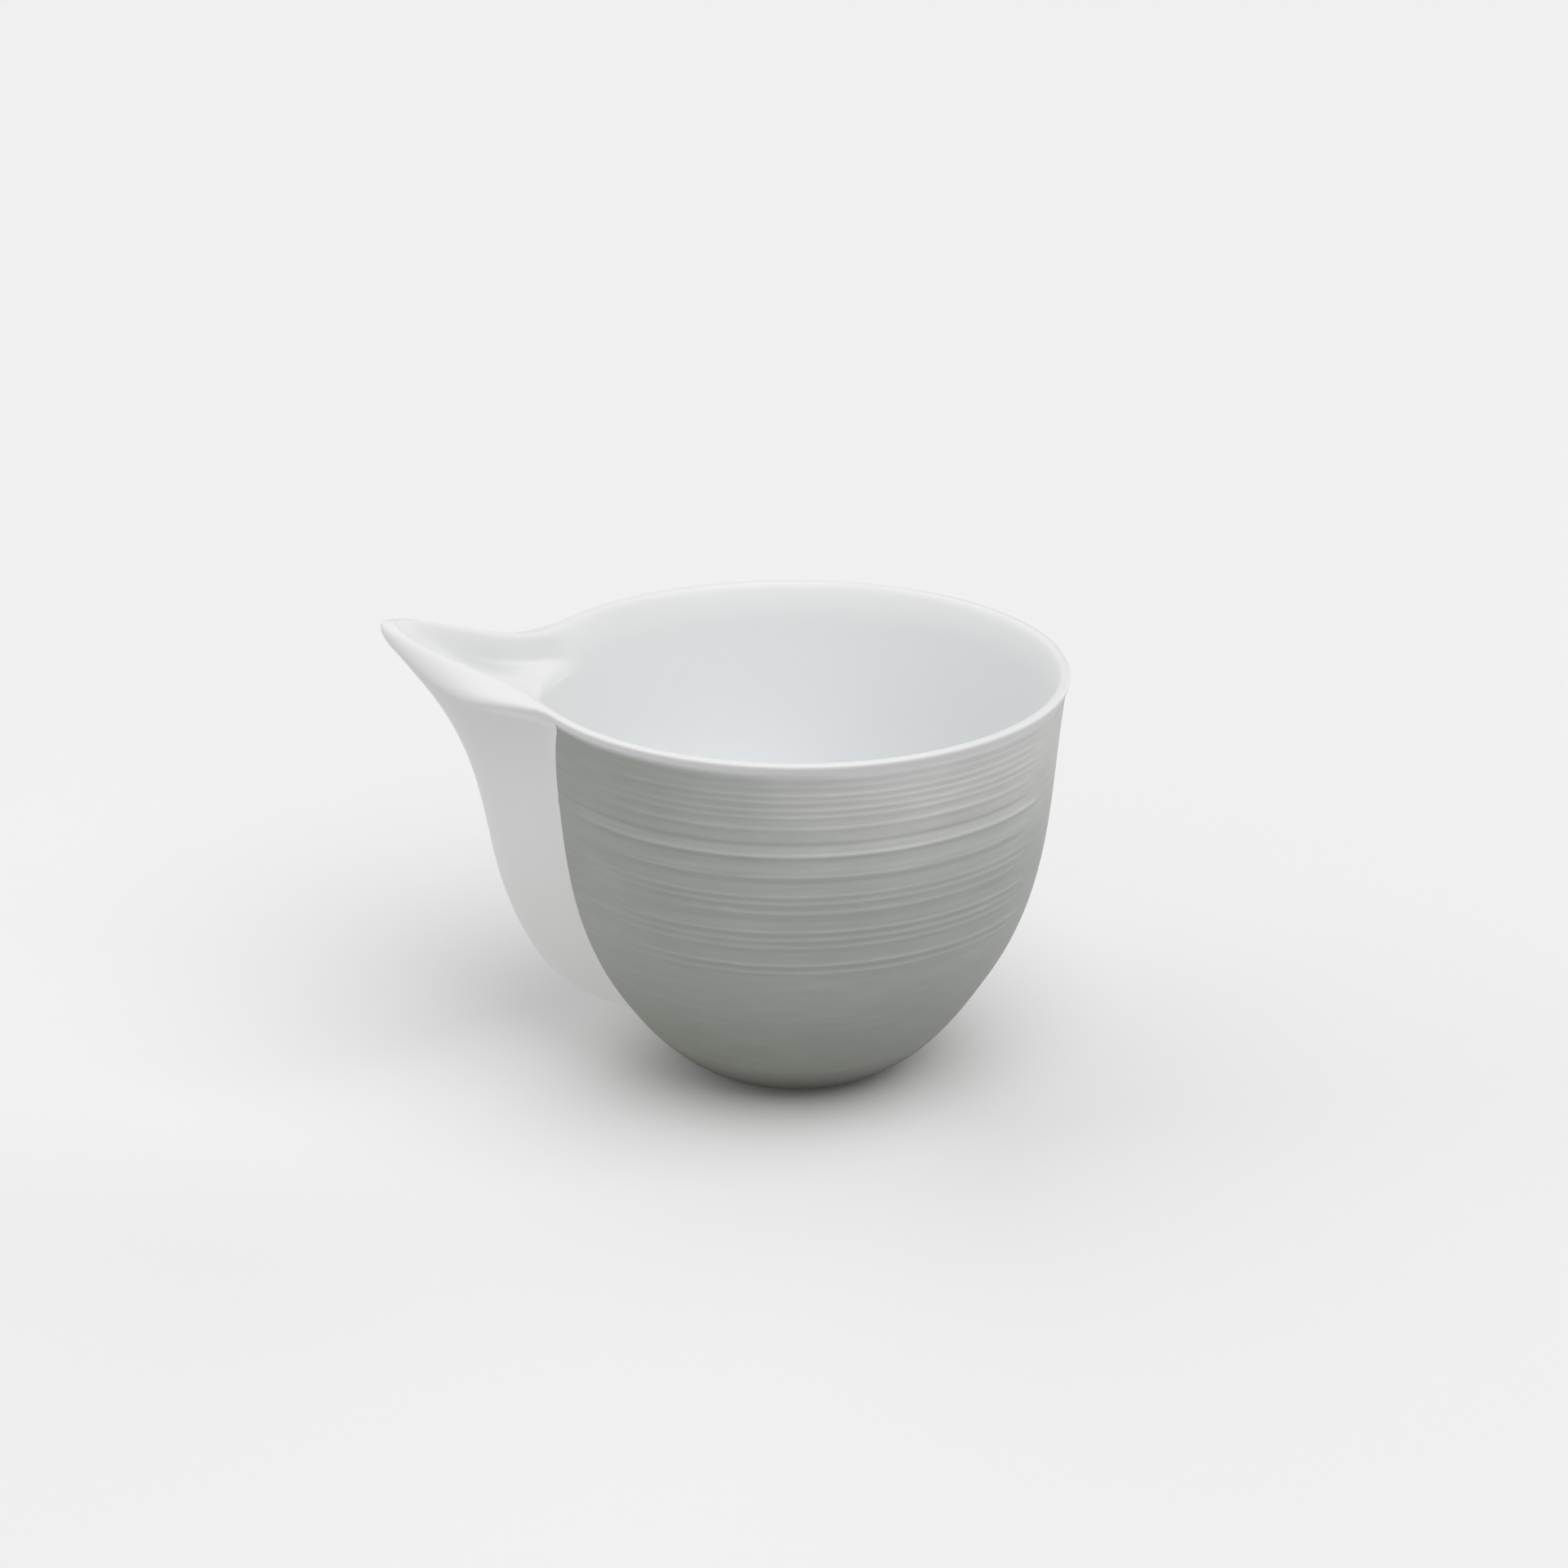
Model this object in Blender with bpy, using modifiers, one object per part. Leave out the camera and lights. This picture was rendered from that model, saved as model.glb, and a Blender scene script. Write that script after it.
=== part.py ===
"""Pouring bowl with a beak spout: white porcelain, with a grey grooved slip coat outside.

Three pieces, all in metres, +Z up. The bowl is turned, the coat is a turned skin in a shallow
recess of the bowl's wall, and the spout is a solid beak and keel luted onto the bowl at -X.
"""
from math import radians

import bmesh
import bpy
import numpy as np

MM = 0.001

# ---- driving dimensions ----
RIM_HEIGHT = 69.4 * MM         # top of the lip, away from the spout
RIM_RADIUS = 45.0 * MM         # widest point of the lip
LIP_CREST_RADIUS = 43.85 * MM  # where the lip is highest
SPOUT_REACH = 68.2 * MM        # from the bowl's axis to the tip of the beak
WALL_THICKNESS = 2.4 * MM      # at the rim
COAT_THICKNESS = 0.6 * MM
COAT_LOW = 0.9 * MM            # heights of the coat's two edges
COAT_HIGH = 68.4 * MM
GAP = 0.3 * MM                 # clearance that touching solids keep

# The outside of the wall runs foot, belly, rim: radius, height and slope of its outline at each.
WALL_FOOT = (14.0 * MM, 0.0, radians(20.6))
WALL_BELLY = (33.5 * MM, 19.3 * MM, radians(57.8))
WALL_RIM = (44.56 * MM, RIM_HEIGHT, radians(80.8))
INSIDE_FLOOR = (0.0, 4.2 * MM, 0.0)
INSIDE_BELLY = (31.2 * MM, 20.8 * MM, radians(57.8))
INSIDE_RIM = (WALL_RIM[0] - WALL_THICKNESS, RIM_HEIGHT, radians(80.8))

FOOT_OUTER = 13.6 * MM         # the unglazed ring that the bowl stands on
FOOT_INNER = 11.4 * MM
FOOT_RECESS_RADIUS = 10.6 * MM
FOOT_RECESS = 1.5 * MM

# Near the spout the rim leans a little out and up, and this dies away round the bowl.
FLARE_OUT = 0.76 * MM
FLARE_UP = 0.48 * MM
FLARE_SPREAD = radians(61.3)
FLARE_FROM = 50.0 * MM
FLARE_FADE = 3                 # how squarely it dies away round the bowl

# The spout: its lip, its keel and its edges on the bowl.
LIP_REACH = 22.6 * MM          # how far the lip's crest stands out of the rim's circle
LIP_LIFT = 7.48 * MM           # how far it rises above the rim
LIP_SPREAD = radians(9.45)
LIP_TAIL = 0.26                # how far the beak's lip trails off round the rim
LIP_LIFT_POWER = 1.09
SPOUT_FOOT = 9.3 * MM
KEEL_DEPTH = 9.76 * MM         # the keel's stand-out over most of its height
KEEL_FULL = 19.6 * MM          # height where its round lower end stops
BEAK_DEPTH = 9.9 * MM          # further stand-out at BEAK_TOP
BEAK_FROM = 38.0 * MM
BEAK_TOP = 72.7 * MM
BEAK_POWER = 2.35
KEEL_ROUNDNESS = 1.24          # power of the cosine that is the keel's section, low on the wall
BEAK_SHARPENING = 0.9          # added power by SHARPEN_TOP
SHARPEN_FROM = 30.0 * MM
SHARPEN_TOP = 68.0 * MM
EDGE_ANGLE = radians(25.8)     # half angle that the keel covers
EDGE_ROUND_TOP = 27.0 * MM     # below this the edges close in to a round end
EDGE_FLARE = radians(5.2)      # added half angle under the rim
EDGE_FLARE_FROM = 57.0 * MM
EDGE_FLARE_TO = 67.0 * MM
EDGE_FLARE_POWER = 1.3
NOTCH_BOTTOM = 50.0 * MM       # the bowl's wall is cut away above this, behind the spout

# The trough's floor runs from the bowl's wall to the tip: reach, height and slope.
TROUGH_WALL = (38.0 * MM, 65.2 * MM, radians(6.0))
TROUGH_MIDDLE = (51.0 * MM, 67.9 * MM, radians(14.0))
TROUGH_TIP = (66.4 * MM, 77.3 * MM, radians(40.0))
TROUGH_DROP = 8.0              # how steeply the floor falls away inside the bowl
TROUGH_FROM = 52.0 * MM        # the trough has no effect below this height
TROUGH_FULL = 61.0 * MM
TROUGH_WIDEST = 0.2            # least cosine that the floor is spread by

# The lip's section. Its shoulder is broadest on both flanks of the beak.
LIP_ROLL = 1.6 * MM            # depth over which the lip rolls in
LIP_TURN_IN = 1.1 * MM
LIP_BULGE = 1.0 * MM
LIP_FULLNESS = 0.6
LIP_SIDE_OUT = 0.7 * MM
LIP_SIDE_UP = 0.3 * MM
LIP_DROP = 1.3 * MM            # from the crest down to where the outer rounding starts
SHOULDER_ANGLE = radians(9.5)
SHOULDER_SPREAD = radians(7.0)
SHOULDER_OUT = 0.2 * MM
SHOULDER_UP = 1.4 * MM
SHOULDER_DROP = 2.6 * MM
SHOULDER_LEAN = 0.55
TIP_SPREAD = radians(4.0)
TIP_DROP = 0.6 * MM
FLANK_LEAN = 0.5               # how the inside leans in under the lip, per unit of depth
BEAK_FLANK_LEAN = 0.15
BEAK_FLANK_OVER = radians(14.0)
WALL_TO_FLOOR = 4.0 * MM       # reach of the rounded corner where the trough meets the wall
FLOOR_TO_FLANK = 1.6 * MM
FLANK_TO_WALL = 1.2 * MM

# ---- mesh density ----
TURN_STEPS = 48
SPOUT_COLUMNS = 35
LIP_POINTS = 7
OUTSIDE_LOW = 22.0 * MM        # above this the outside is nearly straight, with even rows
INSIDE_HIGH = 60.0 * MM
BEYOND = 90.0 * MM             # outside of everything, for the cutter
CUTTER_INSIDE = 20.0 * MM

# The origin is under the middle of the whole piece, so the bowl's axis stands off it.
AXIS_X = (SPOUT_REACH - RIM_RADIUS) / 2


# ---- curves ----
def bezier(start, start_handle, end_handle, end, count):
    """Points of one cubic Bezier curve."""
    t = np.linspace(0, 1, count)[:, None]
    ends = (1 - t) ** 3 * np.array(start) + t ** 3 * np.array(end)
    return ends + 3 * t * (1 - t) * ((1 - t) * np.array(start_handle) + t * np.array(end_handle))


def smooth_curve(stations, count=60, pull=0.36):
    """A smooth outline through stations of (radius, height, slope)."""
    pieces = []
    for (r0, z0, slope0), (r1, z1, slope1) in zip(stations, stations[1:]):
        start, end = np.array((r0, z0)), np.array((r1, z1))
        handle = pull * np.linalg.norm(end - start)
        leave = start + handle * np.array((np.cos(slope0), np.sin(slope0)))
        arrive = end - handle * np.array((np.cos(slope1), np.sin(slope1)))
        pieces.append(bezier(start, leave, arrive, end, count)[1 if pieces else 0:])
    return np.concatenate(pieces)


def offset_curve(curve, depth):
    """The outline moved inwards by depth, square to itself."""
    along = np.gradient(curve, axis=0)
    along /= np.linalg.norm(along, axis=1)[:, None]
    return curve + depth * np.stack([-along[:, 1], along[:, 0]], 1)


def radius_at(curve, z):
    """Radius of an outline at height z, running on straight above its end."""
    z = np.asarray(z, float)
    slope = (curve[-1, 0] - curve[-2, 0]) / (curve[-1, 1] - curve[-2, 1])
    above = np.maximum(z - curve[-1, 1], 0)
    return np.interp(z, curve[:, 1], curve[:, 0]) + slope * above


WALL = smooth_curve([WALL_FOOT, WALL_BELLY, WALL_RIM])
INSIDE = smooth_curve([INSIDE_FLOOR, INSIDE_BELLY, INSIDE_RIM])
COAT_BACK = offset_curve(WALL, COAT_THICKNESS)
BISCUIT = offset_curve(WALL, COAT_THICKNESS + GAP)
TROUGH = smooth_curve([TROUGH_WALL, TROUGH_MIDDLE, TROUGH_TIP])


# ---- the shape of the wall, rim and spout ----
def smooth_min(a, b, reach):
    """The smaller of two values, with the corner between them rounded."""
    share = np.clip(0.5 + 0.5 * (b - a) / reach, 0, 1)
    return b + (a - b) * share - reach * share * (1 - share)


def smooth_max(a, b, reach):
    return -smooth_min(-a, -b, reach)


def rounding(z, top, bottom):
    """Rises from 0 at bottom to 1 at top as a quarter of an ellipse, and stays 1."""
    return np.sqrt(np.clip(1 - (np.clip(top - z, 0, None) / (top - bottom)) ** 2, 0, 1))


def ease(x):
    """0 below 0 and 1 above 1, with soft ends."""
    x = np.clip(x, 0, 1)
    return x * x * (3 - 2 * x)


def flare(angle, z):
    """How far out and up the rim leans, at an angle from the spout."""
    share = np.exp(-(np.abs(angle) / FLARE_SPREAD) ** FLARE_FADE)
    rise = np.clip((z - FLARE_FROM) / (RIM_HEIGHT - FLARE_FROM), 0, 1) ** 2
    return FLARE_OUT * share * rise, FLARE_UP * share * rise


def lip_crest(angle):
    """Radius and height of the lip's highest line."""
    x = np.abs(angle) / LIP_SPREAD
    beak = np.exp(-x * x / (1 + LIP_TAIL * x))
    out, up = flare(angle, RIM_HEIGHT)
    return LIP_CREST_RADIUS + LIP_REACH * beak + out, RIM_HEIGHT + LIP_LIFT * beak ** LIP_LIFT_POWER + up


def edge_angle(z):
    """Half angle of the spout's two edges on the bowl."""
    widen = np.clip((z - EDGE_FLARE_FROM) / (EDGE_FLARE_TO - EDGE_FLARE_FROM), 0, 1)
    return EDGE_ANGLE * rounding(z, EDGE_ROUND_TOP, SPOUT_FOOT - GAP) + EDGE_FLARE * widen ** EDGE_FLARE_POWER


def spout_outside(angle, z):
    """Radius of the keel's outer surface: the wall's own, plus a rounded ridge."""
    across = np.clip(np.abs(angle) / edge_angle(z), 0, 1) * np.pi / 2
    beak = np.clip((z - BEAK_FROM) / (BEAK_TOP - BEAK_FROM), 0, None) ** BEAK_POWER
    stand_out = KEEL_DEPTH * rounding(z, KEEL_FULL, SPOUT_FOOT) + BEAK_DEPTH * beak
    sharpen = np.clip((z - SHARPEN_FROM) / (SHARPEN_TOP - SHARPEN_FROM), 0, None)
    sharpness = KEEL_ROUNDNESS + BEAK_SHARPENING * sharpen ** 2
    return radius_at(WALL, z) + flare(angle, z)[0] + stand_out * np.cos(across) ** sharpness


def shoulder_share(angle):
    """1 where the spout's lip is broadest, 0 at its edges."""
    return np.exp(-((np.abs(angle) - SHOULDER_ANGLE) / SHOULDER_SPREAD) ** 2)


def spout_inside(angle, z):
    """Radius of the inner surface: the wall, opened out by the trough up to the lip."""
    crest_radius, crest_height = lip_crest(angle)
    depth = np.clip(crest_height - z, 0, None)
    share = np.minimum(depth, LIP_ROLL) / LIP_ROLL
    turn_in = LIP_TURN_IN * np.sqrt(1 - (1 - share) ** 2)
    in_beak = ease((EDGE_ANGLE + EDGE_FLARE - np.abs(angle)) / BEAK_FLANK_OVER)
    lean = FLANK_LEAN + (BEAK_FLANK_LEAN - FLANK_LEAN) * in_beak
    lean_in = lean * (share * share * LIP_ROLL / 2 + np.maximum(depth - LIP_ROLL, 0))
    flank = crest_radius - (turn_in + lean_in) * (1 + SHOULDER_LEAN * shoulder_share(angle))
    wall = radius_at(INSIDE, z) + flare(angle, z)[0]
    floor = radius_at(TROUGH, z) - TROUGH_DROP * np.clip(TROUGH[0, 1] - z, 0, None)
    opened = smooth_max(wall, floor / np.maximum(np.cos(angle), TROUGH_WIDEST), WALL_TO_FLOOR)
    opened = smooth_max(wall, smooth_min(opened, flank, FLOOR_TO_FLANK), FLANK_TO_WALL)
    return wall + (opened - wall) * ease((z - TROUGH_FROM) / (TROUGH_FULL - TROUGH_FROM))


def lip_outside(angle, side, height, count=LIP_POINTS):
    """Radii and heights over the lip, from the outer surface to the crest."""
    crest_radius, crest_height = lip_crest(angle)
    share = shoulder_share(angle)
    leave = (side + LIP_SIDE_OUT + SHOULDER_OUT * share, height + LIP_SIDE_UP + SHOULDER_UP * share)
    arrive = (crest_radius + LIP_BULGE + LIP_FULLNESS * abs(side - crest_radius), crest_height)
    return bezier((side, height), leave, arrive, (crest_radius, crest_height), count)


# ---- scene and mesh helpers ----
def clear_scene():
    for old in list(bpy.data.objects):
        bpy.data.objects.remove(old, do_unlink=True)


def new_collection(name):
    collection = bpy.data.collections.new(name)
    bpy.context.scene.collection.children.link(collection)
    return collection


def porcelain_material(name, colour, roughness):
    material = bpy.data.materials.new(name)
    material.use_nodes = True
    shader = material.node_tree.nodes["Principled BSDF"]
    shader.inputs["Base Color"].default_value = (*colour, 1.0)
    shader.inputs["Roughness"].default_value = roughness
    shader.inputs["Metallic"].default_value = 0.0
    return material


def add_object(name, mesh, collection, material=None):
    item = bpy.data.objects.new(name, mesh)
    item.location = (AXIS_X, 0, 0)
    if material:
        mesh.materials.append(material)
    collection.objects.link(item)
    return item


def shade(mesh):
    mesh.shade_smooth()
    mesh.set_sharp_from_angle(angle=radians(35))


def turned_object(name, outline, collection, material):
    """A solid of revolution: the outline goes once round, starting down the outer side."""
    mesh = bpy.data.meshes.new(name)
    points = [(r, 0.0, z) for r, z in outline]
    edges = [(i, (i + 1) % len(points)) for i in range(len(points))]
    mesh.from_pydata(points, edges, [])
    item = add_object(name, mesh, collection, material)
    screw = item.modifiers.new("turn", "SCREW")
    screw.steps = TURN_STEPS
    screw.render_steps = TURN_STEPS
    screw.use_merge_vertices = True
    screw.merge_threshold = 0.00005
    screw.use_smooth_shade = True
    return item


def lean_rim(item):
    """Apply the turning, then lean the rim out and up near the spout."""
    depsgraph = bpy.context.evaluated_depsgraph_get()
    turned = bpy.data.meshes.new_from_object(item.evaluated_get(depsgraph))
    for vertex in turned.vertices:
        x, y, z = vertex.co
        radius = np.hypot(x, y)
        if radius > 0 and z > FLARE_FROM:
            out, up = flare(np.arctan2(y, -x), z)
            vertex.co = (x * (1 + out / radius), y * (1 + out / radius), z + up)
    item.modifiers.clear()
    item.data = turned


def loft(name, sections):
    """A closed solid through sections, each an (outer, inner) pair of equally long chains."""
    shape = bmesh.new()
    rings = []
    for outer, inner in sections:
        rings.append([[shape.verts.new(point) for point in chain] for chain in (outer, inner)])
    steps = range(len(rings[0][0]) - 1)
    for (outer_a, inner_a), (outer_b, inner_b) in zip(rings, rings[1:]):
        for i in steps:
            shape.faces.new((outer_a[i], outer_b[i], outer_b[i + 1], outer_a[i + 1]))
            shape.faces.new((inner_a[i], inner_a[i + 1], inner_b[i + 1], inner_b[i]))
        for end in (0, -1):
            shape.faces.new((outer_a[end], outer_b[end], inner_b[end], inner_a[end]))
    for outer, inner in (rings[0], rings[-1]):
        for i in steps:
            shape.faces.new((outer[i], outer[i + 1], inner[i + 1], inner[i]))
    bmesh.ops.remove_doubles(shape, verts=shape.verts[:], dist=0.02 * MM)
    bmesh.ops.recalc_face_normals(shape, faces=shape.faces[:])
    mesh = bpy.data.meshes.new(name)
    shape.to_mesh(mesh)
    shape.free()
    return mesh


def polar(angle, radius, z):
    """A point at an angle from the spout's direction, -X."""
    return (-radius * np.cos(angle), radius * np.sin(angle), z)


def cut(item, cutter):
    boolean = item.modifiers.new("cut", "BOOLEAN")
    boolean.operation = "DIFFERENCE"
    boolean.object = cutter
    boolean.solver = "EXACT"


# ---- the pieces ----
def bowl_outline():
    """Down the outside behind the coat, across the foot ring, up the inside and over the lip."""
    top = COAT_HIGH + GAP
    low = COAT_LOW - GAP
    inner_low = COAT_LOW + 1.3 * MM
    heights = [*np.linspace(top, OUTSIDE_LOW, 12), 16 * MM, 11 * MM, 7 * MM, 4 * MM, inner_low, low]
    behind_coat = [(radius_at(BISCUIT, z), z) for z in heights]
    foot = [(radius_at(WALL, low), low), (FOOT_OUTER, 0.0), (FOOT_INNER, 0.0),
            (FOOT_RECESS_RADIUS, FOOT_RECESS), (0.0, FOOT_RECESS)]
    inside = [(0.0, INSIDE_FLOOR[1])] + [tuple(point) for point in INSIDE[10::10] if point[1] < INSIDE_HIGH]
    depths = RIM_HEIGHT - np.array([8.0, 5.5, 3.5, 2.2, 1.2, 0.5, 0.12]) * MM
    inside += [(spout_inside(np.pi, z), z) for z in depths]
    lip = lip_outside(np.pi, radius_at(WALL, top), top)
    return behind_coat + foot + inside + [tuple(point) for point in lip[::-1]]


def coat_outline():
    """Down the outside from under the lip to the foot, and back up inside."""
    heights = [*np.linspace(COAT_HIGH, OUTSIDE_LOW, 12),
               17 * MM, 12.5 * MM, 8.5 * MM, 5.5 * MM, 3 * MM, COAT_LOW]
    down = [(radius_at(WALL, z), z) for z in heights]
    return down + [(radius_at(COAT_BACK, z), z) for z in heights[::-1]]


def spout_levels(shoulder):
    """Heights of the spout's rows below and above the notch's bottom, up to the lip's shoulder."""
    low = SPOUT_FOOT + (NOTCH_BOTTOM - SPOUT_FOOT) * np.linspace(0, 1, 15) ** 1.5
    return low, np.linspace(NOTCH_BOTTOM, shoulder, 9)


def spout_section(share):
    """The spout's section at a share of its half width, from -1 to 1."""
    top_angle = share * edge_angle(RIM_HEIGHT)
    crest_height = lip_crest(top_angle)[1]
    drop = LIP_DROP + SHOULDER_DROP * shoulder_share(top_angle)
    shoulder = crest_height - drop - TIP_DROP * np.exp(-(top_angle / TIP_SPREAD) ** 2)
    low, high = spout_levels(shoulder)
    angles = share * edge_angle(np.concatenate([low, high]))
    levels = np.concatenate([low, high])
    outer = [polar(a, spout_outside(a, z), z) for a, z in zip(angles, levels)]
    lip = lip_outside(top_angle, spout_outside(angles[-1], shoulder), shoulder)
    outer += [polar(top_angle, r, z) for r, z in lip[1:]]
    inner = [polar(share * edge_angle(z), radius_at(COAT_BACK, z), z) for z in low]
    drops = (crest_height - NOTCH_BOTTOM) * np.linspace(1, 0, len(high) + len(lip) - 1) ** 2
    for z in crest_height - drops:
        angle = share * edge_angle(z)
        inner.append(polar(angle, spout_inside(angle, z), z))
    return outer, inner


def clearance_section(share):
    """The same section grown by the gap, running out past the spout: what bowl and coat give up."""
    low = spout_levels(RIM_HEIGHT)[0]
    low = np.concatenate([[low[0] - GAP], low[1:-1], [NOTCH_BOTTOM - GAP]])
    steps = np.arange(NOTCH_BOTTOM + MM, RIM_HEIGHT, MM)
    high = np.concatenate([[NOTCH_BOTTOM - GAP], steps, [BEYOND]])
    levels = np.concatenate([low, high])
    angles = share * (edge_angle(np.maximum(levels, SPOUT_FOOT)) + GAP / radius_at(WALL, levels))
    between = radius_at(BISCUIT, levels) + GAP / 2
    inner_radii = np.where(np.arange(len(levels)) < len(low), between, CUTTER_INSIDE)
    outer = [polar(a, BEYOND, z) for a, z in zip(angles, levels)]
    inner = [polar(a, r, z) for a, r, z in zip(angles, inner_radii, levels)]
    return outer, inner


def build():
    clear_scene()
    parts = new_collection("pouring_bowl")
    cutters = new_collection("cutters")
    glaze = porcelain_material("white_glaze", (0.80, 0.81, 0.82), 0.15)
    satin = porcelain_material("white_satin_porcelain", (0.76, 0.76, 0.75), 0.45)
    slip = porcelain_material("grey_matt_slip", (0.38, 0.41, 0.38), 0.8)

    bowl = turned_object("bowl", bowl_outline(), parts, glaze)
    coat = turned_object("grey_coat", coat_outline(), parts, slip)
    shares = np.linspace(-1, 1, SPOUT_COLUMNS)
    add_object("spout", loft("spout", [spout_section(share) for share in shares]), parts, satin)
    clearance_mesh = loft("clearance", [clearance_section(share) for share in shares])
    clearance = add_object("spout_clearance", clearance_mesh, cutters)
    clearance.hide_render = True
    clearance.display_type = "WIRE"

    for item in (bowl, coat):
        lean_rim(item)
        cut(item, clearance)
    for item in parts.objects:
        shade(item.data)


build()
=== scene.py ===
# %% [markdown]
# # A small porcelain pouring bowl with a beak
#
# The bowl is thrown or cast in white porcelain. A solid beak is luted onto its left side, and runs
# down the wall as a keel. A grey slip covers the rest of the outside, cut by fine turned lines.
# Everything here is in metres, +Z up, in the same frame as the measured model.

# %% The fixed frame
from math import cos, pi, radians, sin

import bmesh
import bpy
import numpy as np
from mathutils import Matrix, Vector


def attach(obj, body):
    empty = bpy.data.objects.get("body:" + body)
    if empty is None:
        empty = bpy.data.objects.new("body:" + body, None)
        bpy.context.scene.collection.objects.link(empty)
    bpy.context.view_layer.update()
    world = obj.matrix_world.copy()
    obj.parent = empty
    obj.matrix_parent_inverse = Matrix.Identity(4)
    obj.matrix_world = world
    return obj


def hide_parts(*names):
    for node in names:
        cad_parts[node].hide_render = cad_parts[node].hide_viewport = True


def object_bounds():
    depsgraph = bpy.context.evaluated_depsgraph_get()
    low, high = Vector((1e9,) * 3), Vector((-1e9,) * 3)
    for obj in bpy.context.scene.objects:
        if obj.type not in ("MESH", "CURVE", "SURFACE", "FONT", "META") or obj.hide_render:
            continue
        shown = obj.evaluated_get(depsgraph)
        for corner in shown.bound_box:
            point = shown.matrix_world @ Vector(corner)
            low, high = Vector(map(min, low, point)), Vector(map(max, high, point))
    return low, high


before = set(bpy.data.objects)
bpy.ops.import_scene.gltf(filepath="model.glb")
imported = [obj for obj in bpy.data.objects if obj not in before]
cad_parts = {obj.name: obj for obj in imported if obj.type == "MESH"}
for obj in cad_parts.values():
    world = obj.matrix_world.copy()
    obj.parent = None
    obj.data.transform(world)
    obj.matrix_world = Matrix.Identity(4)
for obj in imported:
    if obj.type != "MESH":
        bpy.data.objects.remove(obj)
cad_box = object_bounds()
MM = 0.001
print("pieces in the frame:", sorted(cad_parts))

# %% [markdown]
# ## Sizes
#
# The measured model fixes where the bowl stands. Its axis is not at the origin, because the beak
# makes the piece longer on one side. So the axis is found from the far side of the box and the
# rim's radius. The other sizes are those that a maker would write on the drawing.

# %% Where the bowl's axis is, and the main sizes
RIM_RADIUS = 44.92 * MM        # widest point of the lip
RIM_HEIGHT = 69.4 * MM
CREST_RADIUS = 43.85 * MM      # where the lip is highest
AXIS_X = cad_box[1].x - RIM_RADIUS
COAT_THICKNESS = 0.6 * MM
COAT_LOW = 0.9 * MM
COAT_HIGH = 67.7 * MM
SPOUT_LOW = 9.0 * MM           # where the keel runs out into the wall
SPOUT_FOOT = 9.3 * MM
NOTCH = 50.0 * MM              # above this height the beak takes the place of the wall
print("bowl axis at x =", round(AXIS_X / MM, 2), "mm")

# %% [markdown]
# ## The outline that is turned
#
# A thrown bowl is the same all round, so one smooth outline says nearly everything. It runs through
# a few stations, each with a radius, a height and a slope. Between them goes a cubic curve, which
# is what a thrower's rib leaves. The inside gets an outline of its own, one wall further in.

# %% Curves through stations
def bezier(start, start_handle, end_handle, end, count):
    """Points of one cubic Bezier curve, as count rows."""
    t = np.linspace(0, 1, count)[:, None]
    ends = (1 - t) ** 3 * np.array(start) + t ** 3 * np.array(end)
    return ends + 3 * t * (1 - t) * ((1 - t) * np.array(start_handle) + t * np.array(end_handle))


def smooth_curve(stations, count=200, pull=0.36):
    """A smooth outline through stations of (radius in mm, height in mm, slope in degrees)."""
    pieces = []
    for (r0, z0, slope0), (r1, z1, slope1) in zip(stations, stations[1:]):
        start, end = np.array((r0, z0)) * MM, np.array((r1, z1)) * MM
        handle = pull * np.linalg.norm(end - start)
        leave = start + handle * np.array((cos(radians(slope0)), sin(radians(slope0))))
        arrive = end - handle * np.array((cos(radians(slope1)), sin(radians(slope1))))
        pieces.append(bezier(start, leave, arrive, end, count)[1 if pieces else 0:])
    return np.concatenate(pieces)


def radius_at(curve, z):
    """Radius of an outline at height z, running on straight above its end."""
    z = np.asarray(z, float)
    slope = (curve[-1, 0] - curve[-2, 0]) / (curve[-1, 1] - curve[-2, 1])
    return np.interp(z, curve[:, 1], curve[:, 0]) + slope * np.maximum(z - curve[-1, 1], 0)


WALL = smooth_curve([(14.0, 0.0, 20.6), (33.5, 19.3, 57.8), (44.56, 69.4, 80.8)])
INSIDE = smooth_curve([(0.0, 4.2, 0.0), (31.2, 20.8, 57.8), (42.16, 69.4, 80.8)])
TROUGH = smooth_curve([(38.0, 62.4, 34.0), (46.0, 65.7, 11.0), (51.0, 66.7, 13.0), (66.4, 77.3, 41.0)])
print("wall at mid height:", round(float(radius_at(WALL, RIM_HEIGHT / 2)) / MM, 2), "mm radius")

# %% [markdown]
# ## The beak
#
# The beak is modelled by hand, so it needs rules of its own. Each rule gives a radius or a height
# at an angle from the beak's middle. The rim swells towards it, a rounded ridge stands out of the
# wall as the keel, and a trough opens the inside up to the lip. Writing them as smooth functions
# lets the bowl and the beak share every point where they meet, so no seam shows.

# %% Soft corners
def smooth_min(a, b, reach):
    """The smaller of two values, with the corner between them rounded."""
    share = np.clip(0.5 + 0.5 * (b - a) / reach, 0, 1)
    return b + (a - b) * share - reach * share * (1 - share)


def smooth_max(a, b, reach):
    """The larger of two values, with the corner rounded."""
    return -smooth_min(-a, -b, reach)


def rounding(z, top, bottom):
    """Rises from 0 at bottom to 1 at top as a quarter of an ellipse, and stays 1."""
    return np.sqrt(np.clip(1 - (np.clip(top - z, 0, None) / (top - bottom)) ** 2, 0, 1))


def ease(x):
    """0 below 0, 1 above 1, with soft ends."""
    x = np.clip(x, 0, 1)
    return x * x * (3 - 2 * x)


def bump(x, middle, width):
    """A bell: 1 at the middle, fading to nothing over a few widths."""
    return np.exp(-((x - middle) / width) ** 2)


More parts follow.
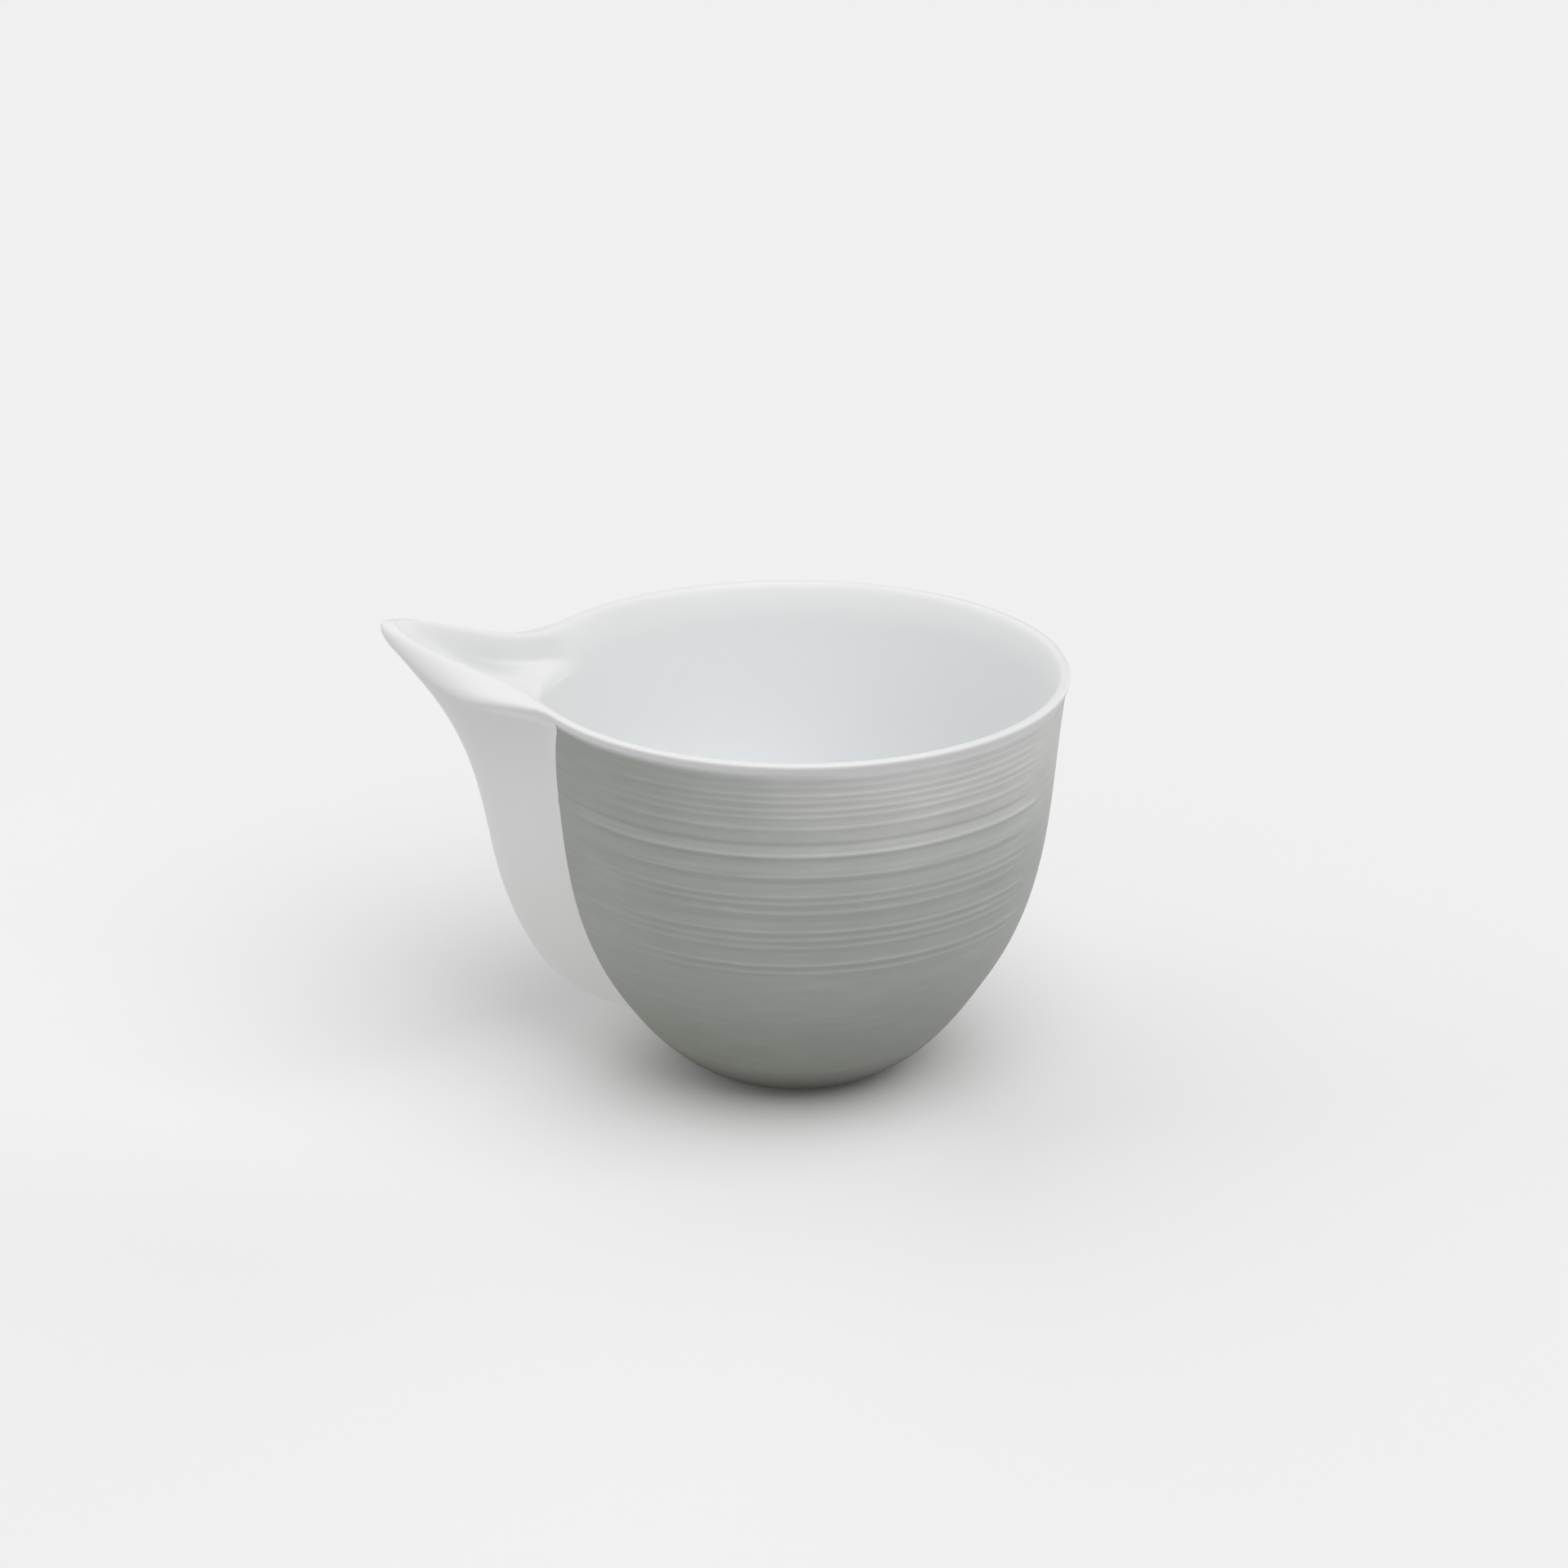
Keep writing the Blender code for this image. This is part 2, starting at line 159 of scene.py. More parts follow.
# %% How the rim leans towards the beak
RIM_LEAN = 0.76 * MM           # how far out the rim leans at the beak
RIM_LIFT = 0.48 * MM           # and how far up
RIM_SPREAD = radians(61.3)     # how far round the bowl the lean is felt
BEAK_REACH = 22.6 * MM         # how far the crest runs out to the beak's tip
BEAK_RISE = 7.48 * MM
BEAK_SPREAD = radians(9.45)    # how slim the beak is, seen from above
BEAK_FOOT = 0.26               # how gently the crest swings out of the round rim
RISE_POWER = 1.09              # the crest rises a little later than it runs out


def flare(angle, z):
    """How far out and up the rim leans."""
    share = np.exp(-(np.abs(angle) / RIM_SPREAD) ** 3)
    rise = np.clip((z - NOTCH) / (RIM_HEIGHT - NOTCH), 0, 1) ** 2
    return RIM_LEAN * share * rise, RIM_LIFT * share * rise


def lip_crest(angle):
    """Radius and height of the lip's highest line."""
    x = np.abs(angle) / BEAK_SPREAD
    beak = np.exp(-x * x / (1 + BEAK_FOOT * x))
    out, up = flare(angle, RIM_HEIGHT)
    return CREST_RADIUS + BEAK_REACH * beak + out, RIM_HEIGHT + BEAK_RISE * beak ** RISE_POWER + up


# %% The keel under the beak
KEEL_HALF = radians(25.8)      # half angle between the keel's edges
KEEL_FULL = 27 * MM            # height at which it has its full width
KEEL_GAIN = radians(5.2)       # how much wider it gets under the lip
GAIN_LOW, GAIN_HIGH, GAIN_POWER = 52 * MM, 67 * MM, 2.2
KEEL_STAND = 9.76 * MM         # how far its back stands out of the wall
STAND_FULL = 19.6 * MM
BEAK_STAND = 9.9 * MM          # how far the beak overhangs the keel
BEAK_LOW, BEAK_SPAN, BEAK_POWER = 38 * MM, 34.7 * MM, 2.35
ROUND_BACK = 1.24              # 1 is a round back, more is a sharper one
SHARP_GAIN, SHARP_LOW, SHARP_SPAN = 0.9, 30 * MM, 38 * MM


def edge_angle(z):
    """Half angle of the keel's two edges on the bowl."""
    widen = np.clip((z - GAIN_LOW) / (GAIN_HIGH - GAIN_LOW), 0, 1)
    return KEEL_HALF * rounding(z, KEEL_FULL, SPOUT_LOW) + KEEL_GAIN * widen ** GAIN_POWER


def keel_radius(angle, z):
    """Radius of the keel's outer surface: the wall's own, plus a rounded ridge."""
    across = np.clip(np.abs(angle) / np.maximum(edge_angle(z), 1e-6), 0, 1) * pi / 2
    beak = np.clip((z - BEAK_LOW) / BEAK_SPAN, 0, None) ** BEAK_POWER
    stand_out = KEEL_STAND * rounding(z, STAND_FULL, SPOUT_FOOT) + BEAK_STAND * beak
    sharpness = ROUND_BACK + SHARP_GAIN * np.clip((z - SHARP_LOW) / SHARP_SPAN, 0, None) ** 2
    return radius_at(WALL, z) + flare(angle, z)[0] + stand_out * np.cos(across) ** sharpness


# %% The lip, inside and out
LIP_ROUND = 1.7                # how far down the lip's rounded outside reaches, in mm
SHOULDER_ROUND = 2.8           # how much further at the beak's shoulders
TIP_ROUND = 0.6                # and at its tip
SHOULDER_AT, SHOULDER_WIDTH, TIP_WIDTH = radians(9.5), radians(7.0), radians(4)


def shoulder_share(angle):
    """1 where the beak's lip is broadest, 0 at its edges."""
    return bump(np.abs(angle), SHOULDER_AT, SHOULDER_WIDTH)


def lip_drop(angle):
    """How far below its crest the lip's rounded outside starts."""
    return (LIP_ROUND + SHOULDER_ROUND * shoulder_share(angle) + TIP_ROUND * bump(angle, 0, TIP_WIDTH)) * MM


# %% The inside, with the trough
ROLL = 1.6 * MM                # depth over which the lip rolls over to the inside
ROLL_IN = 1.1 * MM             # how far it comes inwards on the way
WALL_LEAN = 0.5                # how far the inside then leans in, per depth
BEAK_LESS = 0.44               # how much steeper the trough's flanks are
FLANK_EDGE, FLANK_FADE = radians(31), radians(14)
SHOULDER_IN = 0.55             # the broad shoulders come further in
RUN_OUT = 8                    # how fast the trough's floor sinks into the wall below its end
FLOOR_CORNER, FLANK_CORNER, WALL_CORNER = 4 * MM, 4.5 * MM, 1.2 * MM
TROUGH_LOW, TROUGH_FADE = 52 * MM, 9 * MM


def inner_radius(angle, z):
    """Radius of the inner surface: the wall, opened out by the trough up to the lip."""
    crest_radius, crest_height = lip_crest(angle)
    depth = np.clip(crest_height - z, 0, None)
    share = np.minimum(depth, ROLL) / ROLL
    turn_in = ROLL_IN * np.sqrt(1 - (1 - share) ** 2)
    steep = WALL_LEAN - BEAK_LESS * ease((FLANK_EDGE - np.abs(angle)) / FLANK_FADE)
    lean_in = steep * (share * share * ROLL / 2 + np.maximum(depth - ROLL, 0))
    flank = crest_radius - (turn_in + lean_in) * (1 + SHOULDER_IN * shoulder_share(angle))
    wall = radius_at(INSIDE, z) + flare(angle, z)[0]
    floor = radius_at(TROUGH, z) - RUN_OUT * np.clip(TROUGH[0, 1] - z, 0, None)
    opened = smooth_max(wall, floor / np.maximum(np.cos(angle), 0.2), FLOOR_CORNER)
    opened = smooth_max(wall, smooth_min(opened, flank, FLANK_CORNER), WALL_CORNER)
    return wall + (opened - wall) * ease((z - TROUGH_LOW) / TROUGH_FADE)


def polar(angle, radius, z):
    """A point at an angle from the beak's direction, which is -X."""
    angle, radius, z = np.broadcast_arrays(angle, radius, z)
    return np.stack([AXIS_X - radius * np.cos(angle), radius * np.sin(angle), z], -1)


# %% [markdown]
# ## A grid of points over the whole white skin
#
# Every column of points is one cut through the wall, taken at one angle. Columns under the beak
# spread as the beak does, so that its edge is always a column and comes out crisp. Along a column
# the points lie evenly by length, because even, nearly square faces shade best on a gloss glaze.

# %% Columns round the bowl
BEAK_COLUMNS = 97
REST_COLUMNS = 300
beak_shares = np.linspace(-1, 1, BEAK_COLUMNS)
rest_shares = np.linspace(0, 1, REST_COLUMNS + 1)[1:-1]


def even_rows(points, count):
    """The same line of points with count rows spaced evenly along it."""
    steps = np.linalg.norm(np.diff(points, axis=0), axis=1)
    length = np.concatenate([[0], np.cumsum(steps)])
    at = np.linspace(0, length[-1], count)
    return np.stack([np.interp(at, length, points[:, k]) for k in range(3)], 1)


def wrapped(angle):
    """The same direction as an angle between -pi and pi."""
    return (angle + pi) % (2 * pi) - pi


def column_of(index, low):
    """A function from height to this column's angle; the columns stay straight below low."""
    def angle(z):
        half = edge_angle(np.maximum(z, low))
        if index < BEAK_COLUMNS:
            return beak_shares[index] * half
        return wrapped(half + rest_shares[index - BEAK_COLUMNS] * (2 * pi - 2 * half))
    return angle


# %% The lip and the inside, column by column
LIP_ROWS = 18
NECK_ROWS = 72
INSIDE_ROWS = LIP_ROWS + NECK_ROWS
FLOOR_ROWS = 90
FINE, FLOOR_FINE = 900, 700    # points that a line is worked out with before its rows are spaced evenly
LIP_FINE = 80
CREST_POWER = 2.2              # those points crowd towards the crest, where the line bends most
SLOPE_STEP = 0.2 * MM
BULGE = 0.36                   # how much further out than the wall the lip's outside sets off
LEAVE, LEAVE_SHOULDER = 1.0, 1.1
ARRIVE = 1.35 * MM             # how level the line gets to the crest
ARRIVE_SHARE = 0.6


def lip_rows(angle):
    """Over the lip, from where its rounding starts on the outside up to the crest."""
    crest_radius, crest_height = lip_crest(angle)
    height = crest_height - lip_drop(angle)
    side = float(keel_radius(angle, height))
    outwards = (side - float(keel_radius(angle, height - SLOPE_STEP))) / SLOPE_STEP + BULGE
    reach = (LEAVE + LEAVE_SHOULDER * shoulder_share(angle)) * MM / np.hypot(outwards, 1)
    leave = (side + outwards * reach, height + reach)
    arrive = (crest_radius + ARRIVE + ARRIVE_SHARE * abs(side - crest_radius), crest_height)
    line = bezier((side, height), leave, arrive, (crest_radius, crest_height), LIP_FINE)
    return even_rows(polar(angle, line[:, 0], line[:, 1]), LIP_ROWS)


def inside_rows(column):
    """From the crest down the inner side to the notch's height, then on to the floor's middle."""
    crest_radius, top = lip_crest(column(RIM_HEIGHT))
    z = top - (top - NOTCH) * np.linspace(0, 1, FINE) ** CREST_POWER
    radii = inner_radius(column(z), z)
    radii[0] = crest_radius
    upper = even_rows(polar(column(z), radii, z), INSIDE_ROWS)
    z = NOTCH + (INSIDE[0, 1] - NOTCH) * (1 - (1 - np.linspace(0, 1, FLOOR_FINE)) ** 2)
    radii = inner_radius(column(z), z)
    radii[-1] = 0
    return upper, even_rows(polar(column(z), radii, z), FLOOR_ROWS)


columns = [column_of(i, NOTCH) for i in range(BEAK_COLUMNS + len(rest_shares))]
lip = np.array([lip_rows(column(RIM_HEIGHT)) for column in columns])
insides = [inside_rows(column) for column in columns]
upper_inside = np.array([upper for upper, _ in insides])
lower_inside = np.array([lower for _, lower in insides])
print("columns:", len(columns), "rows from the lip to the floor:", LIP_ROWS + INSIDE_ROWS + FLOOR_ROWS)

# %% The wall behind the coat
def coat_lines(angle, height):
    """Outer and back points of the coat, at a base height that leans up with the rim."""
    out = flare(angle, height)[0]
    rise = np.clip((height - NOTCH) / (COAT_HIGH - NOTCH), 0, 1) ** 2
    lean = (lip_crest(angle)[1] - RIM_HEIGHT) * rise
    step = 0.05 * MM
    slope = np.arctan2(step, radius_at(WALL, height + step) - radius_at(WALL, height))
    outer = radius_at(WALL, height) + out, height + lean
    return outer, (outer[0] - COAT_THICKNESS * np.sin(slope), outer[1] + COAT_THICKNESS * np.cos(slope))


def back_rows(column, low, high, count):
    """Points down the back of the coat, which are the bowl's wall behind it."""
    height = np.linspace(low, high, count)
    radius, z = coat_lines(column(height), height)[1]
    return polar(column(height), radius, z)


# %% [markdown]
# ## Meshes from grids
#
# A grid turns into faces by joining each point to its neighbours. Grids that share points are then
# welded, and the normals turned outwards. Only real corners are marked sharp, so the glaze stays
# one smooth surface.

# %% Joining grids into a closed piece
CORNER = radians(40)           # sharper folds than this are real edges
WELD = 0.004 * MM


def close_grids(name, grids):
    """One closed mesh object from grids of points that meet along their borders."""
    points = np.concatenate([grid.reshape(-1, 3) for grid in grids])
    faces, start = [], 0
    for grid in grids:
        lines, rows = grid.shape[:2]
        index = start + np.arange(lines * rows).reshape(lines, rows)
        start += lines * rows
        corners = index[:-1, :-1], index[1:, :-1], index[1:, 1:], index[:-1, 1:]
        faces.append(np.stack(corners, -1).reshape(-1, 4))
    mesh = bpy.data.meshes.new(name)
    mesh.from_pydata(points.tolist(), [], np.concatenate(faces).tolist())
    shape = bmesh.new()
    shape.from_mesh(mesh)
    bmesh.ops.remove_doubles(shape, verts=shape.verts[:], dist=WELD)
    bmesh.ops.recalc_face_normals(shape, faces=shape.faces[:])
    open_edges = sum(not edge.is_manifold for edge in shape.edges)
    shape.to_mesh(mesh)
    shape.free()
    mesh.shade_smooth()
    mesh.set_sharp_from_angle(angle=CORNER)
    item = bpy.data.objects.new(name, mesh)
    bpy.context.scene.collection.objects.link(item)
    print(name, "faces:", len(mesh.polygons), "edges not shared by two faces:", open_edges)
    return item


def around(grid):
    """A grid closed round the bowl, its first column repeated at the end."""
    return np.concatenate([grid, grid[:1]])


# %% [markdown]
# ## The white bowl
#
# The bowl stands on a narrow unglazed ring, as any bowl that is glazed and fired on a shelf must.
# Its wall goes up behind the slip coat, comes out again as the white lip, and turns into the inside.
# Where the beak sits, the wall is cut away down to the notch. The outline is built from grids
# instead of a Screw modifier, because the lip near the beak is not the same all round.

# %% The bowl; the foot's outline is written in mm, as radius and height
BACK_ROWS = 40
FOOT = [(0.0, 1.5), (5.0, 1.5), (10.2, 1.5), (10.8, 1.25), (11.1, 0.6), (11.3, 0.2), (11.7, 0.02),
        (12.5, 0.0), (13.3, 0.02), (13.7, 0.16), (14.4, 0.36), (15.4, 0.64)]


def foot_rows(column):
    """From the middle of the underside, over the foot ring, to the back of the coat's low edge."""
    coat_edge, coat_back = coat_lines(column(COAT_LOW), COAT_LOW)
    line = [(r * MM, z * MM) for r, z in FOOT] + [coat_edge, coat_back]
    return polar(column(COAT_LOW), *np.array(line).T)


feet = np.array([foot_rows(column) for column in columns])
backs = np.array([back_rows(column, COAT_LOW, NOTCH, BACK_ROWS) for column in columns])
necks = np.array([back_rows(column, NOTCH, COAT_HIGH, NECK_ROWS) for column in columns])
rest = list(range(BEAK_COLUMNS - 1, len(columns))) + [0]      # round the bowl, from edge to edge of the beak
beak = list(range(BEAK_COLUMNS))


def side_wall(outer, index):
    """The closed side between an outer line and the inside, at one edge of the beak."""
    return np.stack([np.concatenate([outer, lip[index]]), upper_inside[index][::-1]])


bowl = close_grids("white_bowl", [
    around(feet), around(backs), necks[rest], np.stack([necks[rest, -1], lip[rest, 0]], 1),
    lip[rest], upper_inside[rest], around(lower_inside),
    np.stack([backs[beak, -1], lower_inside[beak, 0]], 1),
    side_wall(necks[0], 0), side_wall(necks[BEAK_COLUMNS - 1], BEAK_COLUMNS - 1)])

# %% [markdown]
# ## The beak and its keel
#
# The beak is one solid lump of the same clay. Its outer skin starts as a point low on the wall,
# widens into the keel, and flows over the lip into the trough. Its back lies on the bowl's wall.

# %% The beak
KEEL_ROWS = 80
KEEL_CROWD = 1.7               # rows crowd towards the keel's foot, where it curves most


def keel_rows(share):
    """Outer and back points from the keel's foot up, and the outer points on to the lip."""
    low = SPOUT_LOW + (NOTCH - SPOUT_LOW) * np.linspace(0, 1, KEEL_ROWS) ** KEEL_CROWD
    angle = share * edge_angle(low)
    outer = polar(angle, keel_radius(angle, low), low)
    radius, z = coat_lines(angle, low)[1]
    back = polar(angle, radius, z)
    back[-1] = polar(angle[-1], *coat_lines(angle[-1], NOTCH)[1])
    top_angle = share * edge_angle(RIM_HEIGHT)
    high = np.linspace(NOTCH, lip_crest(top_angle)[1] - lip_drop(top_angle), NECK_ROWS)
    angle = share * edge_angle(high)
    return outer, back, polar(angle, keel_radius(angle, high), high)


keels = [keel_rows(share) for share in beak_shares]
keel_low = np.array([outer for outer, _, _ in keels])
keel_back = np.array([back for _, back, _ in keels])
keel_high = np.array([high for _, _, high in keels])
edges = [0, BEAK_COLUMNS - 1]
beak_piece = close_grids("beak_spout", [
    keel_low, keel_high, lip[beak], upper_inside[beak],
    np.stack([keel_back[:, -1], lower_inside[beak, 0]], 1), keel_back,
    *[np.stack([keel_low[edge], keel_back[edge]]) for edge in edges],
    *[np.array([keel_high[edge, :2], [keel_back[edge, -1]] * 2]) for edge in edges],
    *[side_wall(np.concatenate([keel_back[edge, -1:], keel_high[edge, 1:]]), edge) for edge in edges]])


# %% Painted shade in the trough
# Each point of the beak keeps a share of painted shade, growing with how deep in the trough it lies.
TROUGH_STARTS = 60 * MM


def fade(distance, start, length):
    """0 up to a start, rising softly to 1 over a length; these are in mm, the distance in metres."""
    return ease((distance - start * MM) / (length * MM))


def seen_from_axis(item):
    """The points of a piece, as angle from the beak, distance from the bowl's axis, and height."""
    coords = np.array([vertex.co for vertex in item.data.vertices])
    turn = np.arctan2(coords[:, 1], AXIS_X - coords[:, 0])
    return turn, np.hypot(coords[:, 1], AXIS_X - coords[:, 0]), coords[:, 2]


def keep(item, name, values):
    """One number per point, under a name that a material can ask for."""
    item.data.attributes.new(name, "FLOAT", "POINT").data.foreach_set("value", values.astype(np.float32))


turn, out, up = seen_from_axis(beak_piece)
crest_radius, crest_height = lip_crest(turn)
painted_shade_share = fade(crest_height - up, 0.5, 3) * fade(crest_radius - out, 0.8, 3) * fade(out, 43.5, 8)
painted_shade_share = painted_shade_share * ease((radians(27) - np.abs(turn)) / radians(9))                          # not past the flanks
painted_shade_share = painted_shade_share * (0.2 + 0.8 * ease((np.abs(turn) - radians(4)) / radians(4.5)))           # most along the flanks
painted_shade_share = painted_shade_share * (up > TROUGH_STARTS) * (out < inner_radius(turn, up) + 0.5 * MM)         # only on the inside
keep(beak_piece, "trough_painted_shade", painted_shade_share)
print("strongest painted trough shade:", round(float(painted_shade_share.max()), 2))

# %% [markdown]
# ## The slip coat and its turned lines
#
# The grey slip is brushed on while the bowl spins, and a wooden tool then draws lines in it. Bump
# mapping could fake them, but real ridges catch the light at the edge of the bowl too. So the coat
# has rows 0.15 mm apart, and the lines are in the mesh.

# %% Ridges drawn by the tool: height of each, its width, and how far it stands up, in mm
RIDGES = [
    (66.6, 0.45, 0.08), (65.2, 0.4, 0.05), (63.7, 0.38, 0.08), (62.5, 0.38, 0.08), (61.1, 0.38, 0.09),
    (59.9, 0.38, 0.08), (57.9, 0.42, 0.12), (54.9, 0.55, -0.17), (53.15, 0.45, 0.27), (50.1, 0.9, 0.12),
    (49.4, 0.4, 0.10), (48.3, 0.4, -0.06), (45.9, 0.38, 0.09), (44.6, 0.38, 0.09), (42.9, 0.45, 0.10),
    (41.4, 0.45, -0.05), (39.4, 0.38, 0.12), (37.9, 0.38, 0.10), (36.5, 0.38, 0.09), (33.1, 0.38, 0.14),
    (31.6, 0.38, 0.11), (28.2, 0.5, 0.02),
]
TOOL_PRESS = 1.3               # how hard the tool was pressed, against the depths above
CLIMB = 0.35                   # the lines climb this much on their way round, in mm
WANDER = 0.08                  # and the fine ones waver this much
MAIN_DEPTH = 0.2               # a line this deep counts as a main one, and wavers and fades less
BITE, DRAG = 0.8, 1.3          # a ridge is steeper on its upper side, where the tool bit


def strength_round(turn, order, main):
    """How strong one line is at each angle in degrees: it fades in, and ends where the tool was lifted."""
    start = 48 + 9 * sin(2.4 * order) - 30 * main
    end = 146 + 3 * sin(1.7 * order) + 2 * main
    faint = 0.15 + 0.2 * main
    return (faint + (0.85 - 0.2 * main) * ease((turn - start) / 38)) * (1 - ease((turn - end) / 7))


def relief(angle, height):
    """How far the slip stands out."""
    turn = np.degrees(np.abs(angle))
    height = height / MM - CLIMB * ease((turn - 70) / 60)
    total = np.zeros_like(height)
    for order, (at, width, depth) in enumerate(RIDGES):
        main = min(1, abs(depth) / MAIN_DEPTH)
        middle = at + WANDER * np.sin(5 * angle + order) * (1 - main)
        side = width * np.where(height > middle, BITE, DRAG)
        total = total + depth * bump(height, middle, side) * strength_round(turn, order, main)
    return TOOL_PRESS * total * MM


# %% The coat's rows and columns
ROW_STEP = 0.15 * MM
PLAIN_BELOW = 23.2 * MM        # no lines are turned below this
GAP = 0.03 * MM                # between the coat's edge and the keel's
EDGE_RADIUS = 0.14 * MM
LOW_STRETCH = 2.5              # at the low edge the wall leans out, and is this much longer than it is high
coat_shares = np.concatenate([[0, 0.00015, 0.0004, 0.0008, 0.0016, 0.003], np.linspace(0.006, 0.5, 160)])
coat_shares = np.concatenate([coat_shares, 1 - coat_shares[-2::-1]])
coat_heights = np.concatenate([
    np.linspace(COAT_LOW, COAT_LOW + 0.3 * MM, 5), np.linspace(1.6 * MM, 8.6 * MM, 16),
    SPOUT_LOW + 14 * MM * np.linspace(0, 1, 50) ** 2,
    np.arange(PLAIN_BELOW, COAT_HIGH - 0.1 * MM, ROW_STEP), [COAT_HIGH]])
print("coat columns:", len(coat_shares), "rows:", len(coat_heights))


def softened(distance):
    """How far a rounded edge falls back at a distance from the edge."""
    inside = np.clip(EDGE_RADIUS - distance, 0, EDGE_RADIUS)
    return EDGE_RADIUS - np.sqrt(EDGE_RADIUS * EDGE_RADIUS - inside * inside)


# %% The coat
height, share = np.meshgrid(coat_heights, coat_shares)
half = edge_angle(height) + np.where(height > SPOUT_LOW, GAP / RIM_RADIUS, 0)
angle = wrapped(half + share * (2 * pi - 2 * half))
(radius, z), (back_radius, back_z) = coat_lines(angle, height)
to_beak = np.where(height > SPOUT_LOW, (np.abs(angle) - half) * radius, 1)
to_edge = np.minimum(to_beak, LOW_STRETCH * (height - COAT_LOW))
outer = polar(angle, radius + relief(angle, height) - softened(to_edge), z)
back = polar(angle, back_radius, back_z)
slit = np.searchsorted(coat_heights, SPOUT_LOW)      # the first row at which the keel parts the coat
coat = close_grids("grey_slip_coat", [
    outer, back, *[np.stack([outer[:, row], back[:, row]], 1) for row in (0, -1)],
    *[np.stack([outer[edge, slit:], back[edge, slit:]]) for edge in (0, -1)]])
turn, _, up = seen_from_axis(coat)
keep(coat, "below_lip", (lip_crest(turn)[1] - LIP_ROUND * MM - up) / MM)

# %% [markdown]
# ## Finishes
#
# Each finish starts as the real thing: what it is made of and how its surface came about.

# %% Colours and nodes
def linear(hex_colour):
    """A colour written as sRGB hex, as the linear RGBA that shaders take."""
    parts = [int(hex_colour[i:i + 2], 16) / 255 for i in (1, 3, 5)]
    return (*[c / 12.92 if c <= 0.04045 else ((c + 0.055) / 1.055) ** 2.4 for c in parts], 1.0)


def add(tree, kind, inputs=None, **settings):
    """A new node with its settings, and its inputs set or linked."""
    node = tree.nodes.new("ShaderNode" + kind)
    for name, value in settings.items():
        setattr(node, name, value)
    for name, value in (inputs or {}).items():
        if isinstance(value, bpy.types.NodeSocket):
            tree.links.new(value, node.inputs[name])
        else:
            node.inputs[name].default_value = value
    return node


def finish(name, **fixed):
    """A material with a Principled shader whose fixed values are set on its own sockets."""
    material = bpy.data.materials.new(name)
    material.use_nodes = True
    shader = material.node_tree.nodes["Principled BSDF"]
    for socket, value in fixed.items():
        shader.inputs[socket.replace("_", " ")].default_value = value
    return material, material.node_tree, shader


# %% White porcelain under clear glaze
# Dense white clay, dipped in a thin clear glaze: an even, soft gloss, a little cooler where the glaze
# lies thick. The ripples are those of glaze that has run, about 9 mm long, and its orange peel, 1 mm.
GLAZE_WHITE, TROUGH_SHADE_TINT = "#F5F5F5", "#E0E3E3"


def clear_glazed_porcelain(name, thick_tint):
    """White porcelain whose colour goes over to a tint low on the piece, where glaze gathers."""
    material, tree, shader = finish(name, Roughness=0.42, IOR=1.5)
    place = add(tree, "TexCoord").outputs["Object"]
    height = add(tree, "SeparateXYZ", {"Vector": place}).outputs["Z"]
    drift = add(tree, "TexNoise", {"Vector": place, "Scale": 30.0, "Detail": 1.0}).outputs["Fac"]
    drift = add(tree, "Math", {0: drift, 1: 0.012, 2: height}, operation="MULTIPLY_ADD").outputs[0]
    pooled = add(tree, "MapRange", {"Value": drift, "From Min": 0.012, "From Max": 0.074,
                                    "To Min": 1.0, "To Max": 0.0}).outputs["Result"]
    white = add(tree, "Mix", {"Factor": pooled, 6: linear(GLAZE_WHITE), 7: linear(thick_tint)},
                data_type="RGBA").outputs[2]
    # painted shade: the beak's trough is darkened and cooled, most along its flanks
    trough = add(tree, "Attribute", attribute_name="trough_painted_shade").outputs["Fac"]
    white = add(tree, "Mix", {"Factor": trough, 6: white, 7: linear(TROUGH_SHADE_TINT)},
                data_type="RGBA").outputs[2]
    tree.links.new(white, shader.inputs["Base Color"])
    flow = add(tree, "TexNoise", {"Vector": place, "Scale": 110.0, "Detail": 1.0}).outputs["Fac"]
    peel = add(tree, "TexNoise", {"Vector": place, "Scale": 900.0, "Detail": 1.0}).outputs["Fac"]
    skin = add(tree, "Math", {0: peel, 1: 0.12, 2: flow}, operation="MULTIPLY_ADD").outputs[0]
    ripple = add(tree, "Bump", {"Height": skin, "Strength": 0.25, "Distance": 0.00006}).outputs["Normal"]
    tree.links.new(ripple, shader.inputs["Normal"])
    return material


# %% Grey slip, brushed on and turned
# Stained clay brushed on while the bowl spins: matt, fine grained and streaked round the bowl, with
# painted light lighter on one side and a painted highlight near the rim there, painted shade low down
# and a painted contact shadow at the foot. The streaks are about 1 mm high and 12 mm long; the grain
# is drawn at about 0.6 mm, coarser than real clay, so that it still shows.
SLIP, SLIP_PAINTED_LIGHT_RIGHT = "#ABAEA9", "#B9BCB8"
SLIP_PAINTED_HIGHLIGHT, SLIP_PAINTED_SHADE, SLIP_CONTACT_SHADOW = "#E0E1DF", "#828479", "#333429"
WIPED_EDGE = "#ECEEEE"
ROUND_RADIUS = 0.004           # a full turn is laid out at this radius, which draws the streaks out


